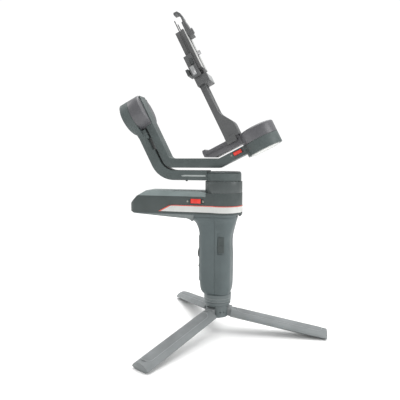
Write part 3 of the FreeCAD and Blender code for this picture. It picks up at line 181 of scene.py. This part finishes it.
NODE_FINISH = {
    "head_shell": ["head_housing", "control_panel", "door_latch", "trigger", "joystick_ring"],
    "grip_skin": ["grip_shell", "battery_door"],
    "underside_painted_bounce": ["underside_cover"],
    "arm_paint": ["pan_arm", "roll_arm"],
    "rotor_paint": ["pan_top_cap", "pan_motor_base"],
    "motor_paint": ["roll_back_cap", "roll_head", "tilt_head", "tilt_top_cap"],
    "bracket_anodised": ["upright_bracket", "camera_base", "camera_stop"],
    "plate_blasted": ["qr_plate"],
    # tilt_base_cap's light colour is painted bounce light from the floor on the tilt motor's underside
    "strip_and_bounce_light": ["side_strip", "tilt_base_cap"],
    "lock_red": ["pan_lock_slider", "roll_lock_slider", "tilt_lock_slider", "record_button"],
    "rubber_black": ["joystick", "menu_button", "mode_button", "zoom_rocker", "focus_wheel"],
    "hub_skin": ["tripod_hub", "tripod_collar", "leg_pins"],
    "leg_skin": ["tripod_leg_right", "tripod_leg_back", "tripod_leg_front"],
    "lever_black": ["roll_clamp_lever", "bracket_lever", "base_lever", "plate_release"],
    "steel_turned": ["door_hinge_pin", "usb_port", "pan_bearings", "roll_bearings", "tilt_bearings",
                     "pan_rotor_bell", "roll_rotor_bell", "tilt_rotor_bell", "camera_screw"],
    "screw_black": ["housing_screws"],
    "brass_turned": ["thread_inserts", "battery_contacts"],
    "copper_wound": ["pan_stator", "roll_stator", "tilt_stator"],
    "board_green": ["main_board", "control_board"],
    "cell_wrap": ["battery_cells"],
    "screen_dark": ["display_window"],
}
FINISH_OF = {node: finish for finish, names in NODE_FINISH.items() for node in names}
for node, finish in FINISH_OF.items():
    mesh = frame["nodes"][node].data
    mesh.materials.clear()
    mesh.materials.append(MATERIALS[finish])


# ---- making pieces -------------------------------------------------------------------------------
def body_of_node(node):
    """The body that a CAD node belongs to."""
    for body, members in frame["record"]["behaviour"]["bodies"].items():
        if node in members:
            return body


def add(name, mesh, finish, body, smooth=35.0):
    """Put a finished mesh in the scene and let it ride on a body."""
    piece = bpy.data.objects.new(name, mesh)
    scene.collection.objects.link(piece)
    mesh.materials.clear()
    mesh.materials.append(MATERIALS[finish])
    shade(mesh, smooth)
    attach(piece, body)
    return piece


def shade(mesh, angle):
    """Smooth shading with sharp edges where faces meet at more than an angle."""
    made = bmesh.new()
    made.from_mesh(mesh)
    limit = math.radians(angle)
    for face in made.faces:
        face.smooth = True
    for edge in made.edges:
        flat = len(edge.link_faces) != 2
        edge.smooth = not (flat or edge.calc_face_angle(0) > limit)
    made.to_mesh(mesh)
    made.free()


def mesh_from(made, name, turn=WORLD):
    """The finished mesh of a bmesh, put in its frame with its normals outward."""
    made.transform(turn)
    bmesh.ops.recalc_face_normals(made, faces=made.faces)
    mesh = bpy.data.meshes.new(name)
    made.to_mesh(mesh)
    made.free()
    return mesh


def evaluated(piece):
    """The piece's mesh with its modifiers applied."""
    graph = bpy.context.evaluated_depsgraph_get()
    return bpy.data.meshes.new_from_object(piece.evaluated_get(graph))


def softened(mesh, width, segments=2, angle=30.0):
    """The same mesh with its sharp edges rounded."""
    holder = bpy.data.objects.new("softening", mesh)
    scene.collection.objects.link(holder)
    bevel = holder.modifiers.new("edge", "BEVEL")
    bevel.width = width
    bevel.segments = segments
    bevel.limit_method = "ANGLE"
    bevel.angle_limit = math.radians(angle)
    bevel.use_clamp_overlap = True
    bevel.miter_outer = "MITER_ARC"
    result = evaluated(holder)
    bpy.data.objects.remove(holder)
    return result


def refine(node, width_mm, segments=2, angle=30.0):
    """A copy of a CAD node with rounded edges, which stands for the node."""
    source = frame["nodes"][node].data
    made = bmesh.new()
    made.from_mesh(source)
    bmesh.ops.remove_doubles(made, verts=made.verts, dist=0.000002)
    bmesh.ops.dissolve_limit(made, angle_limit=math.radians(0.6), verts=made.verts, edges=made.edges)
    mesh = bpy.data.meshes.new(node + "_soft")
    made.to_mesh(mesh)
    made.free()
    mesh = softened(mesh, width_mm * MM, segments, angle)
    piece = add(node + "_finish", mesh, FINISH_OF[node], body_of_node(node))
    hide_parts(node)
    return piece


def second_finish(piece, finish, chosen):
    """Give the faces that a test picks a second finish."""
    piece.data.materials.append(MATERIALS[finish])
    for face in piece.data.polygons:
        if chosen(face):
            face.material_index = 1


SOFT_EDGES = {
    0.7: ["head_housing", "underside_cover"],
    0.5: ["pan_arm", "roll_arm", "tilt_head", "roll_head", "upright_bracket", "roll_back_cap",
          "tripod_leg_right", "tripod_leg_back", "tripod_leg_front"],
    0.4: ["pan_motor_base", "camera_base", "camera_stop", "qr_plate", "tilt_base_cap", "tilt_top_cap",
          "pan_top_cap", "roll_clamp_lever", "bracket_lever", "base_lever", "tripod_hub", "tripod_collar"],
    0.3: ["pan_lock_slider", "tilt_lock_slider", "roll_lock_slider", "door_latch", "trigger", "zoom_rocker",
          "plate_release", "control_panel", "battery_door", "grip_shell", "record_button", "menu_button",
          "mode_button"],
}
finished = {}
for width, names in SOFT_EDGES.items():
    for name in names:
        finished[name] = refine(name, width)
NECK_X = -0.03              # the underside in front of this place belongs to the handle's neck, in metres
MOTOR_CLEAR = 0.02          # the painted top light stops this far behind the pan axis, in metres
# upward faces of the head housing take the lighter colour: painted light from above
second_finish(finished["head_housing"], "head_top",
              lambda face: face.normal.z > LIT_TOP_RISE and face.center.x < PAN_X - MOTOR_CLEAR)
# behind the neck the underside keeps the lighter colour of painted floor bounce light; the neck takes the grip
# colour
second_finish(finished["underside_cover"], "grip_skin", lambda face: face.center.x > NECK_X)


def block(low, high):
    """A box as an open bmesh, ready to be joined, rounded or turned."""
    made = bmesh.new()
    bmesh.ops.create_cube(made, size=1.0)
    span = [high[k] - low[k] for k in range(3)]
    middle = [(high[k] + low[k]) / 2 for k in range(3)]
    bmesh.ops.scale(made, vec=span, verts=made.verts)
    bmesh.ops.translate(made, vec=middle, verts=made.verts)
    return made


def rounded_block(name, low, high, radius, finish, body, turn=WORLD, segments=3):
    """A small moulded block with rounded edges; sizes in millimetres in the turned frame."""
    made = block([part * MM for part in low], [part * MM for part in high])
    bmesh.ops.bevel(made, geom=made.edges[:], offset=radius * MM, segments=segments, profile=0.6,
                    affect="EDGES")
    return add(name, mesh_from(made, name, turn), finish, body)


def rounded_mesh(name, low, high, radius, segments=2):
    """A small rounded block as a bare mesh, in millimetres."""
    made = block([part * MM for part in low], [part * MM for part in high])
    bmesh.ops.bevel(made, geom=made.edges[:], offset=radius * MM, segments=segments, profile=0.6,
                    affect="EDGES")
    return mesh_from(made, name)


LAYOUT_SEED = 7


def repeated(name, unit, count, step, radius, finish, body, turn=WORLD):
    """Copies of one small mesh, set out along a line or round a ring by Geometry Nodes, as one mesh."""
    tree = bpy.data.node_groups.new(name + "_layout", "GeometryNodeTree")
    tree.interface.new_socket("Geometry", in_out="INPUT", socket_type="NodeSocketGeometry")
    inlets = {}
    for label, kind in (("Unit", "NodeSocketObject"), ("Count", "NodeSocketInt"),
                        ("Step", "NodeSocketVector"), ("Radius", "NodeSocketFloat"),
                        ("Seed", "NodeSocketInt")):
        inlets[label] = tree.interface.new_socket(label, in_out="INPUT", socket_type=kind).identifier
    tree.interface.new_socket("Geometry", in_out="OUTPUT", socket_type="NodeSocketGeometry")
    nodes, links = tree.nodes, tree.links
    given = nodes.new("NodeGroupInput")
    source = nodes.new("GeometryNodeObjectInfo")
    links.new(given.outputs["Unit"], source.inputs["Object"])
    if radius > 0:
        points = nodes.new("GeometryNodeMeshCircle")
        links.new(given.outputs["Count"], points.inputs["Vertices"])
        links.new(given.outputs["Radius"], points.inputs["Radius"])
    else:
        points = nodes.new("GeometryNodeMeshLine")
        links.new(given.outputs["Count"], points.inputs["Count"])
        links.new(given.outputs["Step"], points.inputs["Offset"])
    wear = nodes.new("FunctionNodeRandomValue")
    wear.inputs[2].default_value, wear.inputs[3].default_value = 0.985, 1.0
    links.new(given.outputs["Seed"], wear.inputs["Seed"])
    copies = nodes.new("GeometryNodeInstanceOnPoints")
    links.new(points.outputs["Mesh"], copies.inputs["Points"])
    links.new(source.outputs["Geometry"], copies.inputs["Instance"])
    if radius > 0:
        links.new(wear.outputs[1], copies.inputs["Scale"])
    whole = nodes.new("GeometryNodeRealizeInstances")
    links.new(copies.outputs["Instances"], whole.inputs["Geometry"])
    paint = nodes.new("GeometryNodeSetMaterial")
    paint.inputs["Material"].default_value = MATERIALS[finish]
    links.new(whole.outputs["Geometry"], paint.inputs["Geometry"])
    links.new(paint.outputs["Geometry"], nodes.new("NodeGroupOutput").inputs["Geometry"])
    unit_holder = bpy.data.objects.new(name + "_unit", unit)
    holder = bpy.data.objects.new(name + "_holder", bpy.data.meshes.new(name + "_start"))
    for item in (unit_holder, holder):
        scene.collection.objects.link(item)
    layout = holder.modifiers.new("layout", "NODES")
    layout.node_group = tree
    for label, value in (("Unit", unit_holder), ("Count", count), ("Step", step), ("Radius", radius),
                         ("Seed", LAYOUT_SEED)):
        layout[inlets[label]] = value
    mesh = evaluated(holder)
    for item in (holder, unit_holder):
        bpy.data.objects.remove(item)
    bpy.data.node_groups.remove(tree)
    mesh.transform(turn)
    return add(name, mesh, finish, body)


def sheet_piece(name, outline, thick, finish, body, turn=WORLD, edge=0.12):
    """A thin shape from an outline of (x, z) points, centred on a y plane, in millimetres.
    thick gives the lowest and highest y."""
    made = bmesh.new()
    low, high = thick
    face = made.faces.new([made.verts.new((x * MM, low * MM, z * MM)) for x, z in outline])
    raised = bmesh.ops.extrude_face_region(made, geom=[face])
    moved = [item for item in raised["geom"] if isinstance(item, bmesh.types.BMVert)]
    bmesh.ops.translate(made, vec=(0, (high - low) * MM, 0), verts=moved)
    bmesh.ops.bevel(made, geom=made.edges[:], offset=edge * MM, segments=2, profile=0.6, affect="EDGES")
    return add(name, mesh_from(made, name, turn), finish, body)


def lathe(name, outline, finish, body, turn=WORLD, steps=64):
    """A turned piece about the local z axis from (radius, height) points in millimetres."""
    made = bmesh.new()
    rings = []
    for radius, height in outline:
        if radius == 0:
            rings.append([made.verts.new((0, 0, height * MM))])
            continue
        rings.append([made.verts.new((radius * MM * math.cos(2 * math.pi * k / steps),
                                      radius * MM * math.sin(2 * math.pi * k / steps), height * MM))
                      for k in range(steps)])
    for first, second in zip(rings, rings[1:]):
        for k in range(steps):
            after = (k + 1) % steps
            corners = []
            for ring, index in ((first, k), (first, after), (second, after), (second, k)):
                vertex = ring[0] if len(ring) == 1 else ring[index]
                if vertex not in corners:
                    corners.append(vertex)
            if len(corners) > 2:
                made.faces.new(corners)
    return add(name, mesh_from(made, name, turn), finish, body)


def facing(x, y, z, direction):
    """A frame in millimetres whose local z points along a world direction."""
    turn = Vector(direction).normalized().to_track_quat("Z", "Y").to_matrix().to_4x4()
    return Matrix.Translation((x * MM, y * MM, z * MM)) @ turn


# ---- the head's red pinline, lock signs and the slider's ribs ------------------------------------
strip_low, strip_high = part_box("side_strip")
SIDE = min(abs(vertex.co.y) for vertex in frame["nodes"]["side_strip"].data.vertices
           if vertex.co.x < PAN_X - 0.04 and abs(vertex.co.y) > 0.0235)
BULGE = strip_high.x - PAN_X


def plan_path(out, left, stations=40):
    """Points round the head's front, from the near side to the far side, pushed out by a distance."""
    side, round_radius = SIDE + out, BULGE + out
    meet = PAN_X - math.sqrt(max(0.0, round_radius ** 2 - side ** 2))
    angle = math.atan2(-side, meet - PAN_X)
    path = [Vector((left, -side, 0)), Vector(((left + meet) / 2, -side, 0))]
    for k in range(stations + 1):
        turn = angle + (-2 * angle) * k / stations
        path.append(Vector((PAN_X + round_radius * math.cos(turn), round_radius * math.sin(turn), 0)))
    path += [Vector(((left + meet) / 2, side, 0)), Vector((left, side, 0))]
    return path


def band(name, left_low, left_high, low, high, out, thick, finish):
    """A thin band round the head's front, with slanted ends; sizes in metres."""
    made = bmesh.new()
    rows = []
    for level, left in ((low, left_low), (high, left_high)):
        for push in (out, out + thick):
            rows.append([made.verts.new(point + Vector((0, 0, level))) for point in plan_path(push, left)])
    inner_low, outer_low, inner_high, outer_high = rows
    for first, second in ((inner_low, outer_low), (outer_low, outer_high), (outer_high, inner_high),
                          (inner_high, inner_low)):
        for k in range(len(first) - 1):
            made.faces.new((first[k], first[k + 1], second[k + 1], second[k]))
    for k in (0, len(inner_low) - 1):
        made.faces.new((inner_low[k], outer_low[k], outer_high[k], inner_high[k]))
    return add(name, mesh_from(made, name), finish, "grip")


strip_left_low = strip_low.x
near_top = [vertex.co.x for vertex in frame["nodes"]["side_strip"].data.vertices
            if vertex.co.z > strip_high.z - 0.0002]
strip_left_high = min(near_top)
slant = (strip_left_high - strip_left_low) / (strip_high.z - strip_low.z)
LINE = 0.0011
band("pinline_top", strip_left_high - slant * LINE, strip_left_high, strip_high.z - LINE, strip_high.z,
     0.00002, 0.00012, "pin_red")
for side, name in ((-1, "pinline_near"), (1, "pinline_far")):
    low_y = side * (SIDE * 1000 + 0.02)
    high_y = side * (SIDE * 1000 + 0.14)
    x0, x1 = strip_left_low * 1000, strip_left_high * 1000
    z0, z1 = strip_low.z * 1000, strip_high.z * 1000
    wide = 3.2
    sheet_piece(name, [(x0, z0), (x0 + wide, z0), (x1 + wide, z1), (x1, z1)], sorted((low_y, high_y)),
                "pin_red", "grip", edge=0.03)

lock_low, lock_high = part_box("pan_lock_slider")
lock_z = (lock_low.z + lock_high.z) * 500


def padlock(name, x, z, opened, body, turn=WORLD, y=-HEAD_SIDE, size=1.0):
    """A small raised padlock sign made of a body and a shackle."""
    made = block([(x - 1.1 * size) * MM, (y - 0.12) * MM, (z - 1.6 * size) * MM],
                 [(x + 1.1 * size) * MM, (y + 0.1) * MM, (z + 0.2 * size) * MM])
    lift = 0.5 * size if opened else 0.0
    steps = 10
    inner, outer = 0.55 * size, 0.9 * size
    previous = None
    for k in range(steps + 1):
        angle = math.pi * k / steps
        corner = []
        for radius in (inner, outer):
            px, pz = x + radius * math.cos(angle), z + 0.2 * size + lift + radius * math.sin(angle)
            for depth in (y - 0.12, y + 0.1):
                corner.append(made.verts.new((px * MM, depth * MM, pz * MM)))
        if previous:
            for a, b in ((0, 1), (1, 3), (3, 2), (2, 0)):
                made.faces.new((previous[a], previous[b], corner[b], corner[a]))
        else:
            made.faces.new((corner[0], corner[1], corner[3], corner[2]))
        previous = corner
    made.faces.new((previous[0], previous[1], previous[3], previous[2]))
    return add(name, mesh_from(made, name, turn), "icon_grey", body)


SIGN_Y = -HEAD_SIDE - 0.02
padlock("sign_locked", lock_low.x * 1000 - 4.6, lock_z, False, "grip", y=SIGN_Y)
padlock("sign_open", lock_high.x * 1000 + 3.8, lock_z, True, "grip", y=SIGN_Y)
for k in range(3):
    x = (lock_low.x + lock_high.x) * 500 + (k - 1) * 2.2
    rounded_block("pan_lock_rib_%d" % k, (x - 0.4, -25.6, lock_z - 1.9), (x + 0.4, -25.0, lock_z + 1.9), 0.2,
                  "lock_red", "pan_lock")

# ---- inlays and small parts on the arms ----------------------------------------------------------
for side, name in ((-1, "arm_inlay_near"), (1, "arm_inlay_far")):
    sheet_piece(name, [(-53.2, 232.6), (-47.0, 233.8), (-15.6, 233.8), (-15.6, 231.5), (-50.4, 231.5)],
                sorted((side * (ARM_SIDE - 0.3), side * (ARM_SIDE + 0.10))), "inlay_light", "pan",
                edge=0.06)
lathe("arm_stop_nub", [(0, 0), (1.6, 0), (1.6, 1.2), (1.2, 1.8), (0, 2.0)], "lever_black", "pan",
      facing(-46.0, -6.0, 226.1, (0, 0, -1)), 24)

# ---- tripod: textured leg panels and collar lines ------------------------------------------------
LEG_RADIUS = 17.0
LEG_FLAT = 3.0              # the flat underside's distance from the folded legs' middle line
PIN_REACH = 11.0
FOOT_REACH = 157.0
FOOT_TRIM = 1.2
leg_run = FOOT_REACH - PIN_REACH
leg_drop = JOINTS["leg_right_fold"]["pos_m"][2] * 1000 + FOOT_TRIM
half_thick = (LEG_RADIUS - LEG_FLAT) / 2
LEG_SLOPE = math.atan2(leg_drop, leg_run) - math.asin(half_thick / math.hypot(leg_run, leg_drop))


def leg_frame(joint):
    """The frame of one open leg in millimetres, with x along the leg from its pin."""
    place = Vector(JOINTS[joint]["pos_m"])
    azimuth = math.atan2(place.y, place.x)
    return Matrix.Translation(place) @ Matrix.Rotation(azimuth, 4, "Z") @ Matrix.Rotation(LEG_SLOPE, 4, "Y")


def leg_panel(name, body, turn, margin, proud, finish):
    """A thin panel that follows the leg's round back, with rounded ends, set in by a margin."""
    first, last, corner = 17.5 + margin, 143.0 - margin, 8.5 - margin
    rows, columns = 90, 16
    wide = math.radians(30) * LEG_RADIUS - margin
    made = bmesh.new()
    grid = []
    for lift in (proud, -0.5):
        layer = []
        for i in range(rows + 1):
            x = first + (last - first) * i / rows
            edge = min(x - first, last - x)
            inset = 0.0
            if edge < corner:
                inset = corner - math.sqrt(max(0.0, corner ** 2 - (corner - edge) ** 2))
            row = []
            for k in range(columns + 1):
                angle = (wide - inset) / LEG_RADIUS * (2 * k / columns - 1)
                radius = LEG_RADIUS + lift
                row.append(made.verts.new((x * MM, radius * math.sin(angle) * MM,
                                           (radius * math.cos(angle) - PIN_REACH) * MM)))
            layer.append(row)
        grid.append(layer)
    top, low = grid
    for i in range(rows):
        for k in range(columns):
            made.faces.new((top[i][k], top[i][k + 1], top[i + 1][k + 1], top[i + 1][k]))
            made.faces.new((low[i][k], low[i + 1][k], low[i + 1][k + 1], low[i][k + 1]))
        for k in (0, columns):
            made.faces.new((top[i][k], top[i + 1][k], low[i + 1][k], low[i][k]))
    for i in (0, rows):
        for k in range(columns):
            made.faces.new((top[i][k], low[i][k], low[i][k + 1], top[i][k + 1]))
    return add(name, mesh_from(made, name, turn), finish, body)


for side in ("right", "back", "front"):
    place = leg_frame("leg_%s_fold" % side)
    leg_panel("leg_rim_" + side, "leg_" + side, place, 0.0, 0.05, "leg_rim")
    leg_panel("leg_panel_" + side, "leg_" + side, place, 0.6, 0.10, "leg_inlay")
for name, height, radius in (("collar_line_upper", 53.4, 20.2), ("collar_line_lower", 48.9, 20.0)):
    lathe(name, [(radius - 0.8, -0.3), (radius + 0.12, -0.3), (radius + 0.2, 0), (radius + 0.12, 0.3),
                 (radius - 0.8, 0.3)], "collar_line", "tripod", facing(0, 0, height, (0, 0, 1)), 96)

# ---- upright bracket and camera base -------------------------------------------------------------
rib = rounded_mesh("rib", (-35.6, -10.05, -54), (-34.95, -9.15, -14), 0.15)
repeated("upright_ribs", rib, 4, (0, 6.4 * MM, 0), 0.0, "bracket_light", "bracket", TILTED)
knurl = rounded_mesh("knurl", (-0.35, -0.35, 0.3), (0.35, 0.35, 2.7), 0.25)
wheel_low, wheel_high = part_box("focus_wheel")
wheel_middle = (wheel_low + wheel_high) * 500
half_notch = Matrix.Rotation(math.radians(7.5), 4, "Z")
wheel_frame = facing(wheel_middle.x, WHEEL_FACE, wheel_middle.z, (0, 1, 0)) @ half_notch
repeated("focus_wheel_knurl", knurl, 24, (0, 0, 0), 8.9 * MM, "lever_black", "focus_wheel",
         wheel_frame)
# a light sheet on the bracket base's face towards the upper right: painted light on that lit face
rounded_block("base_front_pad", (-26.3, -14, -11.6), (-25.4, 14, -1.0), 0.3, "bracket_light", "bracket",
              TILTED)
# light pads on the plate's top face: partly the pads' own colour, partly painted light where light falls from the
# upper right
for name, near, far in (("plate_pad", -16.2, -4.2), ("plate_pad_far", 4.2, 16.2)):
    rounded_block(name, (-28.3, near, 10.0), (-27.5, far, 68.0), 0.25, "plate_pad_and_painted_light", "plate", TILTED)
rounded_block("clamp_arm", (-43.0, -20.4, 3.0), (-37.2, -19.1, 16.2), 0.5, "bracket_light", "bracket",
              TILTED)
lathe("clamp_pivot", [(0, 0), (2.3, 0), (2.3, 1.0), (1.9, 1.4), (0.9, 1.4), (0.9, 1.0), (0, 1.0)],
      "steel_turned", "bracket", TILTED @ facing(-40.1, -20.2, 6.4, (0, -1, 0)), 32)
sheet_piece("tilt_lock_arrow", [(-47.4, -120.0), (-44.6, -121.2), (-44.6, -118.8)], (-10.12, -9.8),
            "icon_grey", "roll_arm", TILTED, 0.05)
for index, (first, second) in enumerate(((-9.0, 9.0), (-9.0, -9.0), (9.0, 9.0), (9.0, -9.0))):
    lathe("roll_cap_screw_%d" % index, [(0, 0), (1.3, 0), (1.3, 0.35), (0.6, 0.35), (0.6, 0.1), (0, 0.1)],
          "screw_black", "pan", TILTED @ facing(-166.35, first, second, (-1, 0, 0)), 24)

# ---- camera, light and floor ---------------------------------------------------------------------
camera_data = bpy.data.cameras.new("view")
camera_data.lens = 36.86
camera_data.sensor_width = 36.0
camera_data.clip_start, camera_data.clip_end = 0.01, 20.0
camera = bpy.data.objects.new("view", camera_data)
scene.collection.objects.link(camera)
camera.location = (0.1382, -0.5811, 0.2557)
camera.rotation_euler = (math.radians(84.39), 0.0, math.radians(15.9))
scene.camera = camera
scene.view_settings.view_transform = "Standard"

floor_material, floor_nodes, floor_links, floor_shader = material("pale_floor")
floor_place = floor_nodes.new("ShaderNodeTexCoord").outputs["Object"]
floor_cloud = noise(floor_nodes, floor_links, floor_place, 3.0)
floor_links.new(tinted(floor_nodes, floor_links, floor_cloud, (0.93, 0.93, 0.925), (0.96, 0.96, 0.955)),
                floor_shader.inputs["Base Color"])
floor_shader.inputs["Roughness"].default_value = 0.9
floor_shader.inputs["Specular IOR Level"].default_value = 0.2
FLOOR_HALF = 1.3
floor_made = bmesh.new()
bmesh.ops.create_grid(floor_made, x_segments=1, y_segments=1, size=FLOOR_HALF)
floor_mesh = bpy.data.meshes.new("floor")
floor_made.to_mesh(floor_mesh)
floor_made.free()
floor_mesh.materials.append(floor_material)
floor = bpy.data.objects.new("floor", floor_mesh)
scene.collection.objects.link(floor)

world = bpy.data.worlds.new("studio")
scene.world = world
world.use_nodes = True
sky_nodes, sky_links = world.node_tree.nodes, world.node_tree.links
dome = sky_nodes["Background"]
dome.inputs["Strength"].default_value = 0.72
backdrop = sky_nodes.new("ShaderNodeBackground")
backdrop.inputs["Strength"].default_value = 1.05
choice = sky_nodes.new("ShaderNodeMixShader")
sky_links.new(sky_nodes.new("ShaderNodeLightPath").outputs["Is Camera Ray"], choice.inputs["Fac"])
sky_links.new(dome.outputs["Background"], choice.inputs[1])
sky_links.new(backdrop.outputs["Background"], choice.inputs[2])
sky_links.new(choice.outputs["Shader"], sky_nodes["World Output"].inputs["Surface"])
for sky in (dome, backdrop):
    sky.inputs["Color"].default_value = (1.0, 1.0, 1.0, 1)


def soft_light(name, place, target, width, power):
    """A round studio lamp that points at a target."""
    data = bpy.data.lights.new(name, "AREA")
    data.shape = "DISK"
    data.size = width
    data.energy = power
    lamp = bpy.data.objects.new(name, data)
    scene.collection.objects.link(lamp)
    lamp.location = place
    lamp.rotation_euler = (Vector(target) - Vector(place)).to_track_quat("-Z", "Y").to_euler()


soft_light("overhead", (0.0, 0.35, 1.7), (0, 0.05, 0.0), 2.2, 34.0)
soft_light("right", (1.5, -0.3, 0.9), (0, 0, 0.25), 1.0, 9.0)
soft_light("left", (-1.4, 0.2, 0.8), (0, 0, 0.25), 1.0, 4.0)
